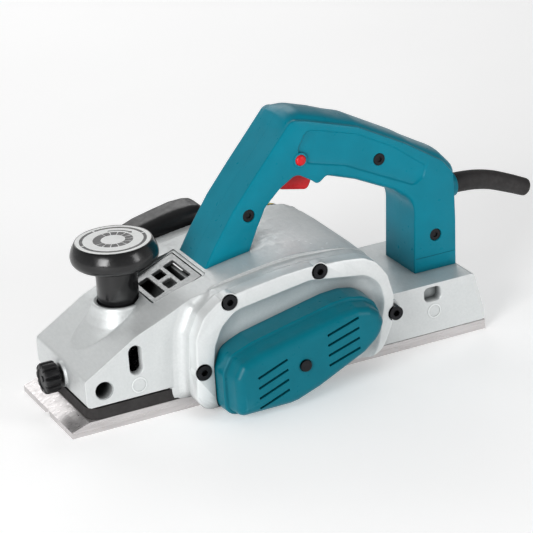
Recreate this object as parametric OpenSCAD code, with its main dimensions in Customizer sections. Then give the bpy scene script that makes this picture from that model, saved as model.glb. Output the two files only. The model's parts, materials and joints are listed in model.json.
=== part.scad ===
// Electric hand planer: an 82 mm cutter drum driven by a flat belt from a motor that lies across the tool.
// X runs along the planer with the adjustable shoe at -X, -Y is the belt side, Z = 0 is the sole.

/* [Base] */
// Length of the sole, shoe tip to tail
base_length = 290; // [285:1:295]
// Width of the sole and of the cutter
base_width = 82; // [80:0.5:84]
// Thickness of the adjustable shoe
shoe_thickness = 8; // [7:0.5:8]
// Thickness of the fixed rear sole
sole_thickness = 6.6; // [5:0.2:7]

/* [Cutter drum] */
// Radius of the circle that the blade edges sweep
blade_circle = 26.95; // [26:0.05:26.95]
// Radius of the drum body
drum_radius = 24; // [23:0.25:24]
// Radius of the drum's shaft ends
drum_shaft_radius = 5; // [4:0.25:5]
// Length of one blade
blade_length = 82; // [78:0.5:82]

/* [Motor] */
// Radius of the field stack
field_radius = 32.5; // [31:0.5:32.5]
// Radius of the armature stack
armature_radius = 20; // [17:0.5:20]
// Radius of the armature's shaft
motor_shaft_radius = 4; // [3.5:0.25:4]

/* [Belt drive] */
// Radius of the drum pulley under the belt
drum_pulley_radius = 15.5; // [14:0.25:15.5]
// Radius of the motor pulley under the belt
motor_pulley_radius = 11.5; // [10:0.25:11.5]
// Thickness of the belt
belt_thickness = 2; // [1.5:0.1:2]

/* [Handle] */
// Half of the handle's width
handle_half = 20; // [18:0.5:20]
// Wall of the handle shells
handle_wall = 3; // [2.5:0.25:3.5]

/* [Depth knob] */
// Radius of the knob's widest flange
knob_radius = 27.6; // [26:0.2:28]

/* [Hidden] */
$fn = 96;

half_width = base_width / 2;
toe_x = -base_length / 2;
tail_x = base_length / 2;
fit = 0.05;          // radial clearance of a running fit
belt_gap = 0.1;      // clearance of the belt on its pulleys
shell_inner = handle_half - handle_wall;

drum_x = -28;
drum_z = 27;
chamber_radius = 28.5;
shoe_arc_radius = 29.2;
motor_x = 33;
motor_z = 43.5;
nose_x = -133.5;     // front face of the casting
frame_bottom_z = 16.9;
wall_bottom_z = 9.3; // underside of the casting in front of the cutter
deck_z = 40.5;       // flat deck behind the motor
pad_y = 50;          // the casting's bracket face, and half of its width over the cutter
far_y = 54;          // the casting's far face
band_y = 60;         // outer face of the side bracket
bracket_floor_y = 54;
cover_face_y = 84;
cover_wall = 2.5;
housing_end_y = 82;
housing_radius = 36.5;
housing_end_radius = 29.5;
housing_ear_y = 60;  // where the housing's screw ears end
housing_screw_angles = [45:90:315];
spout_mouth_x = -72;
knob_x = -91;
journal_radius = 10;
post_radius = 5;
pin_radius = 4;
pin_x = -74;
pin_y = 25;
rod_x = -121.5;      // guide rod bore across the nose
rod_z = 26.5;
rod_radius = 5.6;
clamp_y = -3.5;      // axis of the thumb screw
pulley_y = [-75, -61];
bearing_6000 = [13, 8];   // outer radius and width
bearing_608 = [11, 7];
trigger_pivot = [24, 128];
lock_at = [29.2, 136.7];
guard_z = 87.7;
foot_screw = [122, 12];   // screws up into the handle's rear foot
brush_y = 63;
blade_back = 9.5;    // the blade's upper face, above the line from the drum's axis
blade_tip_x = sqrt(blade_circle * blade_circle - blade_back * blade_back);
blade_bolt_x = 15.5;
blade_bolt_y = [-28, 0, 28];

bracket_screw_at = [[-42.7, 72.1], [19.1, 77.3], [-63.2, 30.6], [70.2, 36.7]];
spout_screw_x = [-50, -14];
spout_screw_z = 41;
handle_screw_at = [[-7.7, 107.2], [85.3, 123.7], [122.9, 63.9]];
rear_screw_at = [[82, -30], [82, 30], [132, -30], [132, 30]];

function housing_screw_x(a) = motor_x + 35.5 * cos(a);
function housing_screw_z(a) = motor_z + 35.5 * sin(a);

// ---- Outlines, each drawn in the XZ plane ----
frame_outline = [
    [nose_x, frame_bottom_z], [nose_x, 35], [-105, 51], [-97, 58], [-74, 68], [-58, 74], [-51, 76],
    [-39, 79.3], [-9, 84.1], [14, 85.4], [42, 82], [57, 77], [66, 64], [70, 49], [71, deck_z],
    [139, deck_z], [145, 13], [145, sole_thickness], [-22, sole_thickness], [-22, wall_bottom_z],
    [-64, wall_bottom_z], [-64, frame_bottom_z]
];
side_outline = [
    [-69, 8.7], [-68.6, 31], [-66.7, 53], [-60.7, 65.6], [-48.3, 75], [-31, 77.6], [-5, 81], [13, 82],
    [36, 80.7], [50, 79], [59, 74], [66, 64], [70, 49], [68, 30], [59, 11], [-56.5, 8]
];
recess_outline = [
    [-56, -5], [-56, 32], [-54.4, 45], [-49, 57], [-39, 65.5], [12, 73], [51, 67], [60, 59.5],
    [62.4, 47], [57.5, 20], [50, 5], [50, -5]
];
cover_outline = [
    [-55, 1.5], [-56, 2.6], [-56, 32], [-50, 42.5], [-35, 48], [21, 60], [33, 61], [43, 59], [51, 53.5],
    [55, 44], [51.6, 35], [47.6, 30], [38.7, 23], [6, 8], [-10, 2.4], [-16, 1.5]
];
pocket_outline = [
    [-129, 10], [-129, 31], [-106, 44], [-97, 50], [-85, 52], [-62, 52], [-62, 10]
];
handle_outline = [
    [-39, 79.3], [-31, 92.4], [-18, 112], [-3, 131], [12, 149], [25.4, 162.6], [36, 160],
    [71, 148.7], [105, 130], [129, 113], [136, 103], [138, 88], [138, 72], [137, deck_z],
    [107.3, deck_z], [109, 89], [95, 100], [69, 113], [47, 120.7], [41, 117.2], [37, 120.6],
    [27, 127], [15, 120], [4, 110], [-2, 98.6], [-9, 84.1]
];
crown_outline = [
    [20, 150], [26, 168], [46, 162.5], [66, 154], [98.5, 137.5], [124, 122], [139, 108],
    [135, 98], [120, 110], [60, 140]
];
trigger_outline = [
    [22.6, 118], [24, 113.5], [30, 111], [36, 112.5], [41.5, 117], [43, 121], [42, 126.5],
    [30, 127], [27, 130.5], [21, 130.5], [21, 124]
];

// ---- Shared shapes ----
// A flat outline in XZ, extruded from y0 to y1
module across(y0, y1) {
    translate([0, y1, 0]) rotate([90, 0, 0]) linear_extrude(y1 - y0) children();
}

// A round bar along Y
module bar(x, z, y0, y1, r) {
    translate([x, y1, z]) rotate([90, 0, 0]) cylinder(r = r, h = y1 - y0);
}

// A round tube along Y
module bush(x, z, y0, y1, r_out, r_in) {
    difference() {
        bar(x, z, y0, y1, r_out);
        bar(x, z, y0 - 1, y1 + 1, r_in);
    }
}

// A box given by two corners
module block(low, high) {
    translate(low) cube(high - low);
}

// A hexagon nut along Y with a round hole
module hex_nut(x, z, y0, y1, across_flats, r_in) {
    difference() {
        translate([x, y1, z]) rotate([90, 0, 0])
            cylinder(d = across_flats / cos(30), h = y1 - y0, $fn = 6);
        bar(x, z, y0 - 1, y1 + 1, r_in);
    }
}

// A socket head screw along +Y, its head's face at y0
module socket_screw(x, z, y0, head_r, head_h, shank_r, shank_end) {
    difference() {
        union() {
            bar(x, z, y0, y0 + head_h, head_r);
            bar(x, z, y0 + head_h - 0.5, shank_end, shank_r);
        }
        translate([x, y0 + head_h * 0.6, z]) rotate([90, 0, 0])
            cylinder(r = head_r * 0.5, h = head_h, $fn = 6);
    }
}

// Triangles between successive rings of a swept tube, with flat ends
module ring_skin(rings) {
    sides = len(rings[0]);
    last = (len(rings) - 1) * sides;
    polyhedron(
        points = [for (ring = rings) each ring],
        faces = concat(
            [[for (k = [sides - 1:-1:0]) k]],
            [for (i = [0:len(rings) - 2], k = [0:sides - 1])
                [i * sides + k, i * sides + (k + 1) % sides,
                 (i + 1) * sides + (k + 1) % sides, (i + 1) * sides + k]],
            [[for (k = [0:sides - 1]) last + k]]
        )
    );
}

// A coil of round wire about Z
module coil_spring(coil_r, wire_r, height, turns) {
    steps = turns * 14;
    ring_skin([for (i = [0:steps])
        let (a = 360 * turns * i / steps, z = wire_r + (height - 2 * wire_r) * i / steps)
        [for (k = [0:7])
            let (b = -45 * k, r = coil_r + wire_r * cos(b))
            [r * cos(a), r * sin(a), z + wire_r * sin(b)]]]);
}

// ---- Casting ----
module chip_channel() {
    block([-46, -33, 44], [-12, far_y + 1, 71]);
}

module frame_solids() {
    across(-half_width, half_width) polygon(frame_outline);
    for (y = [[-pad_y, -half_width], [half_width, far_y]]) across(y[0], y[1]) polygon(side_outline);
    for (p = bracket_screw_at) bar(p[0], p[1], -pad_y, -half_width, 6.5);
    translate([knob_x, 0, 40]) cylinder(r1 = 28, r2 = 16, h = 25);
    translate([nose_x - 2, clamp_y, rod_z]) rotate([0, 90, 0]) cylinder(r = 6, h = 5);
}

module frame_hollows() {
    bar(drum_x, drum_z, -pad_y - 1, 41.4, chamber_radius);
    bar(drum_x, drum_z, 41, 49, bearing_6000[0]);
    bar(motor_x, motor_z, -36, far_y + 1, field_radius);
    bar(motor_x, motor_z, -pad_y - 1, -35, 16.2);
    chip_channel();
    difference() {
        across(-36, 36) polygon(pocket_outline);
        bar(rod_x, rod_z, -half_width, half_width, 9.5);
        translate([knob_x, 0, 44]) cylinder(r = 15, h = 30);
        for (side = [-1, 1]) translate([pin_x, side * pin_y, frame_bottom_z]) cylinder(r = 8, h = 40);
    }
    difference() {
        across(-36, 36)
            polygon([[73, 0], [73, 36.5], [133.5, 36.5], [139, 13], [139, 0]]);
        for (p = rear_screw_at) translate([p[0], p[1], 0]) cylinder(r = 5.5, h = 40);
    }
}

module frame_holes() {
    translate([knob_x, 0, 58]) cylinder(r = 13.8, h = 12);
    translate([knob_x, 0, 40]) cylinder(r = journal_radius + fit, h = 20);
    for (side = [-1, 1]) translate([pin_x, side * pin_y, 10]) cylinder(r = pin_radius + fit, h = 32);
    bar(rod_x, rod_z, -half_width - 1, half_width + 1, rod_radius);
    translate([nose_x - 5, clamp_y, rod_z]) rotate([0, 90, 0]) cylinder(r = 3 + fit, h = 12);
    for (p = bracket_screw_at) bar(p[0], p[1], -pad_y - 1, -38, 2.5);
    for (p = rear_screw_at) translate([p[0], p[1], 0]) cylinder(r = 2.5, h = 22);
    for (side = [-1, 1])
        translate([foot_screw[0], side * foot_screw[1], 30]) cylinder(r = 2.6, h = 15);
    for (x = spout_screw_x) bar(x, spout_screw_z, 46, far_y + 1, 1.6);
    for (a = housing_screw_angles)
        bar(housing_screw_x(a), housing_screw_z(a), 44, far_y + 1, 1.6);
}

module frame_recesses() {
    translate([-60, 0, 71.9]) rotate([0, -21.5, 0]) block([-17.2, -23, -8], [17.2, 23, 6]);
    for (side = [-1, 1]) {
        translate([-99.3, side * half_width, 41]) cube([8.5, 12, 19], center = true);
        translate([107.3, side * half_width, 33.5]) cube([11.8, 5, 9.3], center = true);
    }
}

module main_frame() {
    color("silver") difference() {
        frame_solids();
        frame_hollows();
        frame_holes();
        frame_recesses();
    }
}

// ---- Side bracket ----
module bracket_solids() {
    difference() {
        across(-band_y, -pad_y) polygon(side_outline);
        across(-band_y - 1, -bracket_floor_y) polygon(recess_outline);
    }
    for (p = bracket_screw_at) bar(p[0], p[1], -55, -pad_y, 6.5);
    intersection() {
        bar(drum_x, drum_z, -pad_y - 0.5, -42, chamber_radius - 0.2);
        block([-70, -pad_y - 1, 9.5], [20, -41.8, 80]);
    }
    bar(motor_x, motor_z, -pad_y - 0.5, -40, 16);
    bar(-6, 29.7, -80, -bracket_floor_y + 1, 4);
}

module side_bracket() {
    color("silver") difference() {
        bracket_solids();
        bar(drum_x, drum_z, -pad_y, -41, bearing_6000[0]);
        bar(drum_x, drum_z, -band_y, -40, 8);
        bar(motor_x, motor_z, -pad_y, -39, bearing_608[0]);
        bar(motor_x, motor_z, -band_y, -39, 7);
        for (p = bracket_screw_at) {
            bar(p[0], p[1], -band_y - 1, -55, 5);
            bar(p[0], p[1], -56, -pad_y + 1, 2.6);
        }
        bar(-6, 29.7, -81, -66, 1.7);
    }
}

module bracket_screws() {
    color("black") for (p = bracket_screw_at) socket_screw(p[0], p[1], -61, 4.6, 6, 2.5, -39);
}

// ---- Soles ----
module rear_base() {
    color("gainsboro") difference() {
        across(-half_width, half_width)
            polygon([[-20, 0], [tail_x, 0], [tail_x, sole_thickness], [-20, sole_thickness]]);
        bar(drum_x, drum_z, -half_width - 1, half_width + 1, chamber_radius);
        for (p = rear_screw_at) {
            translate([p[0], p[1], -1]) cylinder(r = 2.6, h = 9);
            translate([p[0], p[1], 0]) cylinder(r1 = 5.1, r2 = 2.6, h = 2.5);
            translate([p[0], p[1], -1]) cylinder(r = 5.1, h = 1);
        }
    }
}

module rear_base_screws() {
    color("dimgray") for (p = rear_screw_at) translate([p[0], p[1], 0]) difference() {
        union() {
            translate([0, 0, 0.3]) cylinder(r1 = 4.7, r2 = 2.5, h = 2.2);
            translate([0, 0, 2]) cylinder(r = 2.5, h = 19);
        }
        translate([-0.6, -4, 0]) cube([1.2, 8, 1.3]);
    }
}

module front_base() {
    groove = [[-4.5, -0.01], [0, 4.5], [4.5, -0.01]];
    color("gainsboro") difference() {
        across(-half_width, half_width) polygon([
            [toe_x, 0], [toe_x, 4.1], [toe_x + 12, shoe_thickness], [-45, shoe_thickness], [-38, 0]
        ]);
        bar(drum_x, drum_z, -half_width - 1, half_width + 1, shoe_arc_radius);
        translate([toe_x - 1, 0, 0]) rotate([90, 0, 90]) linear_extrude(120) polygon(groove);
    }
}

module rounded_plan(x0, x1, half_y, r) {
    union() {
        translate([x0 + r, -half_y]) square([x1 - x0 - 2 * r, 2 * half_y]);
        translate([x0, -half_y + r]) square([x1 - x0, 2 * half_y - 2 * r]);
        for (x = [x0 + r, x1 - r], y = [-half_y + r, half_y - r]) translate([x, y]) circle(r = r);
    }
}

module rubber_skirt() {
    color([0.2, 0.2, 0.2]) translate([0, 0, shoe_thickness]) linear_extrude(7.6) difference() {
        rounded_plan(-132.5, -66, 40.5, 8);
        rounded_plan(-129, -69.5, 37, 5);
    }
}

module depth_post() {
    color("gray") translate([knob_x, 0, shoe_thickness]) {
        cylinder(r = 13, h = 4);
        cylinder(r = post_radius, h = 76);
    }
}

module guide_pins() {
    color("gray") for (side = [-1, 1])
        translate([pin_x, side * pin_y, shoe_thickness]) cylinder(r = pin_radius, h = 30);
}

module depth_spring() {
    color("gray") translate([knob_x, 0, 12]) coil_spring(8, 0.9, 27.9, 6);
}

// ---- Depth knob ----
module depth_knob() {
    color([0.12, 0.12, 0.12]) translate([knob_x, 0, 0]) difference() {
        rotate_extrude() polygon([
            [0, 40], [journal_radius, 40], [journal_radius, 58.1], [13, 58.1], [13, 84], [16, 87.5],
            [24, 89.5], [knob_radius, 93], [knob_radius, 96], [26.4, 101], [25.2, 104.7],
            [23.8, 104.7], [23.8, 104], [0, 104]
        ]);
        translate([0, 0, 39]) cylinder(r = post_radius + fit, h = 54);
    }
}

module dial_plate() {
    color("white") translate([knob_x, 0, 104]) cylinder(r = 23.7, h = 0.7);
}

module knob_clip() {
    color("gray") translate([knob_x, 0, 42.6]) difference() {
        cylinder(r = 12.5, h = 1.3);
        translate([0, 0, -1]) cylinder(r = journal_radius, h = 4);
    }
}

module thumb_screw() {
    lobes = 10;
    color([0.12, 0.12, 0.12]) translate([-148, clamp_y, rod_z]) rotate([0, 90, 0]) {
        difference() {
            cylinder(r = 10, h = 10);
            for (k = [0:lobes - 1]) rotate(k * 360 / lobes) translate([11, 0, -1]) cylinder(r = 2.2, h = 12);
        }
        cylinder(r = 5, h = 12.4);
        cylinder(r = 3, h = 20.5);
    }
}

module grille_plate() {
    tilt = -21.5;
    color("darkgray") translate([-60, 0, 71.9]) rotate([0, tilt, 0]) difference() {
        block([-17, -22.8, -3], [17, 22.8, -0.5]);
        for (slot = [[-10, 7, 27, 0], [0, 6, 11, -8], [0, 6, 11, 8], [9.5, 7, 28, 0]])
            translate([slot[0], slot[3], -2]) cube([slot[1], slot[2], 6], center = true);
    }
}

// ---- Belt side ----
module belt_cover() {
    color([0, 0.5, 0.58]) difference() {
        across(-cover_face_y, -bracket_floor_y) polygon(cover_outline);
        across(-cover_face_y + cover_wall, -bracket_floor_y + 1)
            offset(delta = -cover_wall) polygon(cover_outline);
        for (k = [0:3]) {
            across(-cover_face_y - 1, -cover_face_y + cover_wall + 1)
                translate([-37.8, 28.3 - 6.7 * k]) rotate(20.5) square([21.8, 1.6]);
            across(-cover_face_y - 1, -cover_face_y + cover_wall + 1)
                translate([10.3, 44.4 - 6.7 * k]) rotate(17) square([23, 1.6]);
        }
        bar(-6, 29.7, -cover_face_y - 1, -cover_face_y + cover_wall + 1, 2.1);
    }
    color([0, 0.5, 0.58]) bush(-6, 29.7, -cover_face_y + 0.5, -80, 6, 2.1);
}

module belt_cover_screw() {
    color("black") {
        bar(-6, 29.7, -85.4, -cover_face_y, 3.6);
        bar(-6, 29.7, -cover_face_y - 0.5, -67, 1.7);
    }
}

// The area that a belt round both pulleys encloses, standing off them by extra
module belt_loop(y0, y1, extra) {
    hull() {
        bar(drum_x, drum_z, y0, y1, drum_pulley_radius + extra);
        bar(motor_x, motor_z, y0, y1, motor_pulley_radius + extra);
    }
}

module drive_belt() {
    y0 = pulley_y[0] + 1.5;
    y1 = pulley_y[1] - 1.5;
    color([0.15, 0.15, 0.15]) difference() {
        belt_loop(y0, y1, belt_gap + belt_thickness);
        belt_loop(y0 - 1, y1 + 1, belt_gap);
    }
}

module flanged_pulley(x, z, r, bore) {
    difference() {
        union() {
            bar(x, z, pulley_y[0], pulley_y[1], r);
            for (y = [pulley_y[0], pulley_y[1] - 1.2]) bar(x, z, y, y + 1.2, r + 1.5);
        }
        bar(x, z, pulley_y[0] - 1, pulley_y[1] + 1, bore);
    }
}

module drum_pulley() {
    color("gray") flanged_pulley(drum_x, drum_z, drum_pulley_radius, drum_shaft_radius);
}

module motor_pulley() {
    color("gray") flanged_pulley(motor_x, motor_z, motor_pulley_radius, motor_shaft_radius);
}

module drum_nut() {
    color("gray") hex_nut(drum_x, drum_z, -79.5, pulley_y[0], 16, drum_shaft_radius);
}

module motor_nut() {
    color("gray") hex_nut(motor_x, motor_z, -79.5, pulley_y[0], 13, motor_shaft_radius);
}

// ---- Cutter ----
// Copies a shape drawn about the drum's axis to both blade seats
module at_both_blades() {
    for (turn = [35, 215]) translate([drum_x, 0, drum_z]) rotate([0, -turn, 0]) children();
}

module cutter_drum() {
    color("dimgray") difference() {
        union() {
            bar(drum_x, drum_z, -40.8, 40.8, drum_radius);
            bar(drum_x, drum_z, -79.5, 48.9, drum_shaft_radius);
        }
        at_both_blades() {
            block([10, -41, 7], [40, 41, 40]);
            for (y = blade_bolt_y) translate([blade_bolt_x, y, 1]) cylinder(r = 2, h = 8);
        }
    }
}

module cutter_blades() {
    color("silver") at_both_blades() difference() {
        across(-blade_length / 2, blade_length / 2)
            polygon([[11, 7], [24, 7], [blade_tip_x, blade_back], [11, blade_back]]);
        for (y = blade_bolt_y) translate([blade_bolt_x, y, 6]) cylinder(r = 2.1, h = 8);
    }
}

module blade_clamps() {
    color("gray") at_both_blades() difference() {
        across(-40.8, 40.8) polygon([[10, blade_back], [21, blade_back], [19, 14], [10, 17]]);
        for (y = blade_bolt_y) {
            translate([blade_bolt_x, y, 9]) cylinder(r = 2.1, h = 8);
            translate([blade_bolt_x, y, 11.9]) cylinder(r = 3.4, h = 8);
        }
    }
}

module blade_bolts() {
    color("black") at_both_blades() for (y = blade_bolt_y) translate([blade_bolt_x, y, 0]) difference() {
        union() {
            translate([0, 0, 1.2]) cylinder(r = 2, h = 12);
            translate([0, 0, 11.9]) cylinder(r = 3.2, h = 2.6);
        }
        translate([0, 0, 13]) cylinder(r = 1.5, h = 4, $fn = 6);
    }
}

module bearing_ring(x, z, y0, size, shaft_r) {
    difference() {
        bar(x, z, y0, y0 + size[1], size[0]);
        bar(x, z, y0 - 1, y0 + size[1] + 1, shaft_r + fit);
        for (y = [y0 - 1, y0 + size[1] - 0.4])
            bush(x, z, y, y + 1.4, size[0] - 2, shaft_r + 2);
    }
}

module drum_bearings() {
    color("silver") {
        bearing_ring(drum_x, drum_z, -pad_y, bearing_6000, drum_shaft_radius);
        bearing_ring(drum_x, drum_z, 41, bearing_6000, drum_shaft_radius);
    }
}

// ---- Motor ----
module armature_shaft() {
    color("gray") bar(motor_x, motor_z, -79.5, 78.5, motor_shaft_radius);
}

module armature_core() {
    color([0.45, 0.3, 0.2]) difference() {
        union() {
            bar(motor_x, motor_z, -8, 38, armature_radius);
            bar(motor_x, motor_z, -14, 46, armature_radius - 4);
        }
        bar(motor_x, motor_z, -15, 47, motor_shaft_radius);
        for (a = [0:30:330])
            translate([motor_x, 0, motor_z]) rotate([0, a, 0]) block([armature_radius - 3, -9, -0.8],
                [armature_radius + 1, 39, 0.8]);
    }
}

module commutator() {
    color([0.72, 0.45, 0.2]) difference() {
        bar(motor_x, motor_z, 54, 70, 12);
        bar(motor_x, motor_z, 53, 71, motor_shaft_radius);
    }
}

module cooling_fan() {
    color("white") difference() {
        union() {
            bar(motor_x, motor_z, -32, -29.5, 29);
            bar(motor_x, motor_z, -32, -17, 9);
            for (a = [0:30:330])
                translate([motor_x, 0, motor_z]) rotate([0, a, 0]) block([8, -30, -0.8], [28.5, -18, 0.8]);
        }
        bar(motor_x, motor_z, -33, -16, motor_shaft_radius);
    }
}

module motor_bearings() {
    color("silver") {
        bearing_ring(motor_x, motor_z, -pad_y, bearing_608, motor_shaft_radius);
        bearing_ring(motor_x, motor_z, 72, bearing_608, motor_shaft_radius);
    }
}

module field_stack() {
    color([0.4, 0.32, 0.28]) difference() {
        bar(motor_x, motor_z, -8, 38, field_radius);
        bar(motor_x, motor_z, -9, 39, armature_radius + 0.6);
        for (a = [0, 180]) translate([motor_x, 0, motor_z]) rotate([0, a, 0])
            block([armature_radius - 2, -9, -9], [29, 39, 9]);
    }
}

module air_baffle() {
    color([0.15, 0.15, 0.15]) bush(motor_x, motor_z, -16, -8, field_radius, 24);
}

// A flat seat for the label, square to the housing's flank
module on_label_seat() {
    slope = atan((housing_radius - housing_end_radius) / (housing_end_y - far_y));
    translate([motor_x, far_y, motor_z]) rotate([0, 6, 0]) translate([0, 0, housing_radius])
        rotate([-slope, 0, 0]) children();
}

module motor_housing() {
    color([0.12, 0.12, 0.12]) difference() {
        union() {
            translate([motor_x, far_y, motor_z]) rotate([-90, 0, 0])
                cylinder(r1 = housing_radius, r2 = housing_end_radius, h = housing_end_y - far_y);
            for (a = housing_screw_angles)
                bar(housing_screw_x(a), housing_screw_z(a), far_y, housing_ear_y, 4.4);
            on_label_seat() block([-9, 1, -3], [9, 18, 0.6]);
        }
        bar(motor_x, motor_z, far_y - 1, 56, field_radius);
        bar(motor_x, motor_z, 55, 70, 30.2);
        bar(motor_x, motor_z, 69, 79, 26);
        for (x = [-1, 1]) translate([motor_x, brush_y, motor_z]) rotate([0, 90 * x, 0])
            cylinder(r = 6.1, h = 45);
        for (a = housing_screw_angles) {
            bar(housing_screw_x(a), housing_screw_z(a), far_y - 1, housing_end_y, 1.7);
            bar(housing_screw_x(a), housing_screw_z(a), housing_ear_y, housing_end_y, 3.3);
        }
        for (k = [-2:2], side = [-1, 1])
            block([motor_x + 5.5 * k - 1.5, 78, motor_z + side * 19 - 5],
                [motor_x + 5.5 * k + 1.5, housing_end_y + 1, motor_z + side * 19 + 5]);
    }
    color([0.12, 0.12, 0.12]) bush(motor_x, motor_z, 71, 79.5, 13.5, bearing_608[0]);
}

module housing_screws() {
    color("black") for (a = housing_screw_angles) {
        bar(housing_screw_x(a), housing_screw_z(a), housing_ear_y, housing_ear_y + 2.6, 3);
        bar(housing_screw_x(a), housing_screw_z(a), 46, housing_ear_y + 0.5, 1.6);
    }
}

module brush_holders() {
    color([0.75, 0.6, 0.3]) for (x = [0, 180]) translate([motor_x, brush_y, motor_z]) rotate([0, x, 0])
        difference() {
            block([13, -4.5, -4], [29.5, 4.5, 4]);
            block([12, -3.5, -3], [30.5, 3.5, 3]);
        }
}

module carbon_brushes() {
    color([0.1, 0.1, 0.1]) for (x = [0, 180]) translate([motor_x, brush_y, motor_z]) rotate([0, x, 0])
        block([12.2, -3.45, -2.95], [26, 3.45, 2.95]);
}

module brush_caps() {
    color([0.12, 0.12, 0.12]) for (x = [0, 180]) translate([motor_x, brush_y, motor_z]) rotate([0, x, 0])
        difference() {
            translate([30.5, 0, 0]) rotate([0, 90, 0]) cylinder(r = 6, h = 7.5);
            block([36.8, -5, -0.8], [39, 5, 0.8]);
        }
}

module yellow_label() {
    color([0.95, 0.8, 0.2]) on_label_seat() block([-8, 2, 0.6], [8, 17, 1]);
}

// ---- Chip spout ----
// The duct's elbow and horn, standing proud by grow; over runs the form past both of its ends
module spout_form(grow, over) {
    hull() {
        block([-49 - grow, far_y - over, 44 - grow], [-9 + grow, far_y + 0.5, 73 + grow]);
        across(70 - grow, 84 + grow) spout_bend(grow);
    }
    hull() {
        across(58 - grow, 84 + grow)
            polygon([[-46, 54 - grow], [-30, 54 - grow], [-30, 87 + grow], [-46, 83 + grow]]);
        block([spout_mouth_x - over, 59 - grow, 43 - grow], [spout_mouth_x + 1, 82 + grow, 70 + grow]);
    }
}

// Side view of the elbow, drawn in by shrinking its corners towards its middle
module spout_bend(grow) {
    polygon([
        [-46, 54 - grow], [-9 + grow, 54 - grow], [-1 + grow, 72], [-1 + grow, 84],
        [-7 + grow / 2, 89.5 + grow], [-20, 89 + grow], [-46, 83 + grow]
    ]);
}

module chip_spout() {
    color([0.12, 0.12, 0.12]) difference() {
        union() {
            spout_form(0, 0);
            block([-54, far_y, 36], [-8, far_y + 3, 76]);
        }
        spout_form(-2.5, 1);
        for (x = spout_screw_x) bar(x, spout_screw_z, far_y - 1, far_y + 4, 1.7);
    }
}

module spout_screws() {
    color("black") for (x = spout_screw_x) {
        bar(x, spout_screw_z, far_y + 3, far_y + 5.5, 3);
        bar(x, spout_screw_z, 47, far_y + 3.5, 1.6);
    }
}

// ---- Handle ----
module handle_blank() {
    across(-handle_half, handle_half) polygon(handle_outline);
    across(-13, 13) polygon(crown_outline);
    translate([130, 0, guard_z]) rotate([0, 90, 0]) cylinder(r = 9, h = 19);
}

module handle_openings() {
    across(-shell_inner, shell_inner) offset(delta = -handle_wall) polygon(handle_outline);
    across(-7, 7) polygon([[20.5, 114], [44, 110], [45, 128], [20.5, 133]]);
    translate([125, 0, guard_z]) rotate([0, 90, 0]) cylinder(r = 6.8, h = 30);
}

// One shell of the handle with its bosses; side is -1 on the belt side and 1 on the far side
module handle_shell(side) {
    low = side < 0 ? -30 : 0;
    wall_y = side * (shell_inner + 1);
    difference() {
        union() {
            difference() {
                intersection() {
                    handle_blank();
                    block([-60, low, 30], [160, low + 30, 175]);
                }
                handle_openings();
            }
            for (p = handle_screw_at) bar(p[0], p[1], min(wall_y, 0), max(wall_y, 0), 5);
            bar(trigger_pivot[0], trigger_pivot[1], min(7.2 * side, wall_y), max(7.2 * side, wall_y), 4);
            for (x = [44, 54])
                across(min(9 * side, wall_y), max(9 * side, wall_y)) translate([x, 131]) square([2.5, 15]);
            if (side > 0) bar(lock_at[0], lock_at[1], 2, wall_y, 5);
            translate([foot_screw[0], side * foot_screw[1], deck_z + 1]) cylinder(r = 5, h = 13);
        }
        bar(trigger_pivot[0], trigger_pivot[1], -shell_inner, shell_inner, 1.5);
        for (p = handle_screw_at) {
            bar(p[0], p[1], -25, side < 0 ? 25 : shell_inner, 2.1);
            if (side < 0) bar(p[0], p[1], -25, -shell_inner, 4);
        }
        if (side < 0) bar(lock_at[0], lock_at[1], -25, -10, 4);
        handle_foot_holes();
    }
}

module handle_left() {
    color([0, 0.5, 0.58]) handle_shell(-1);
}

module handle_right() {
    color([0, 0.5, 0.58]) handle_shell(1);
}

module handle_foot_holes() {
    for (side = [-1, 1])
        translate([foot_screw[0], side * foot_screw[1], deck_z - 1]) cylinder(r = 2.5, h = 14);
}

module handle_screws() {
    color([0.1, 0.1, 0.1]) for (p = handle_screw_at) difference() {
        union() {
            bar(p[0], p[1], -shell_inner - 2.2, -shell_inner, 3.8);
            bar(p[0], p[1], -shell_inner - 0.5, shell_inner, 2);
        }
        translate([p[0], -shell_inner - 1.2, p[1]]) rotate([90, 0, 0]) cylinder(r = 2, h = 3, $fn = 6);
    }
}

module handle_foot_screws() {
    color("gray") for (side = [-1, 1]) translate([foot_screw[0], side * foot_screw[1], 0]) {
        translate([0, 0, 33.3]) cylinder(r = 4.5, h = 3.2);
        translate([0, 0, 36]) cylinder(r = 2.5, h = 17);
    }
}

// ---- Switch and controls ----
module switch_body() {
    color([0.1, 0.1, 0.1]) {
        block([37, -9, 131], [62, 9, 146]);
        block([62, -6, 134], [66, -2, 138]);
        block([62, 2, 134], [66, 6, 138]);
    }
}

// Points of the leads, from the cord guard's inner end to the switch terminals
lead_path = [
    [130.5, 88], [122, 88], [115.5, 90], [110, 97], [104, 104], [96, 109], [86, 113.5], [78, 119],
    [73, 128], [70, 136], [66, 136]
];

module lead(y) {
    last = len(lead_path) - 1;
    color([0.1, 0.1, 0.1]) ring_skin([for (i = [0:last])
        let (ahead = lead_path[min(i + 1, last)] - lead_path[max(i - 1, 0)], t = ahead / norm(ahead))
        [for (k = [0:7])
            let (u = 1.6 * cos(45 * k), v = 1.6 * sin(45 * k))
            [lead_path[i][0] - t[1] * v, y + u, lead_path[i][1] + t[0] * v]]]);
}

module switch_leads() {
    for (side = [-1, 1]) lead(4 * side);
}

module trigger() {
    color([0.82, 0.13, 0.16]) difference() {
        across(-6, 6) polygon(trigger_outline);
        bar(trigger_pivot[0], trigger_pivot[1], -7, 7, 1.5 + fit);
    }
}

module trigger_pin() {
    color("gray") bar(trigger_pivot[0], trigger_pivot[1], -shell_inner, shell_inner, 1.5);
}

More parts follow.
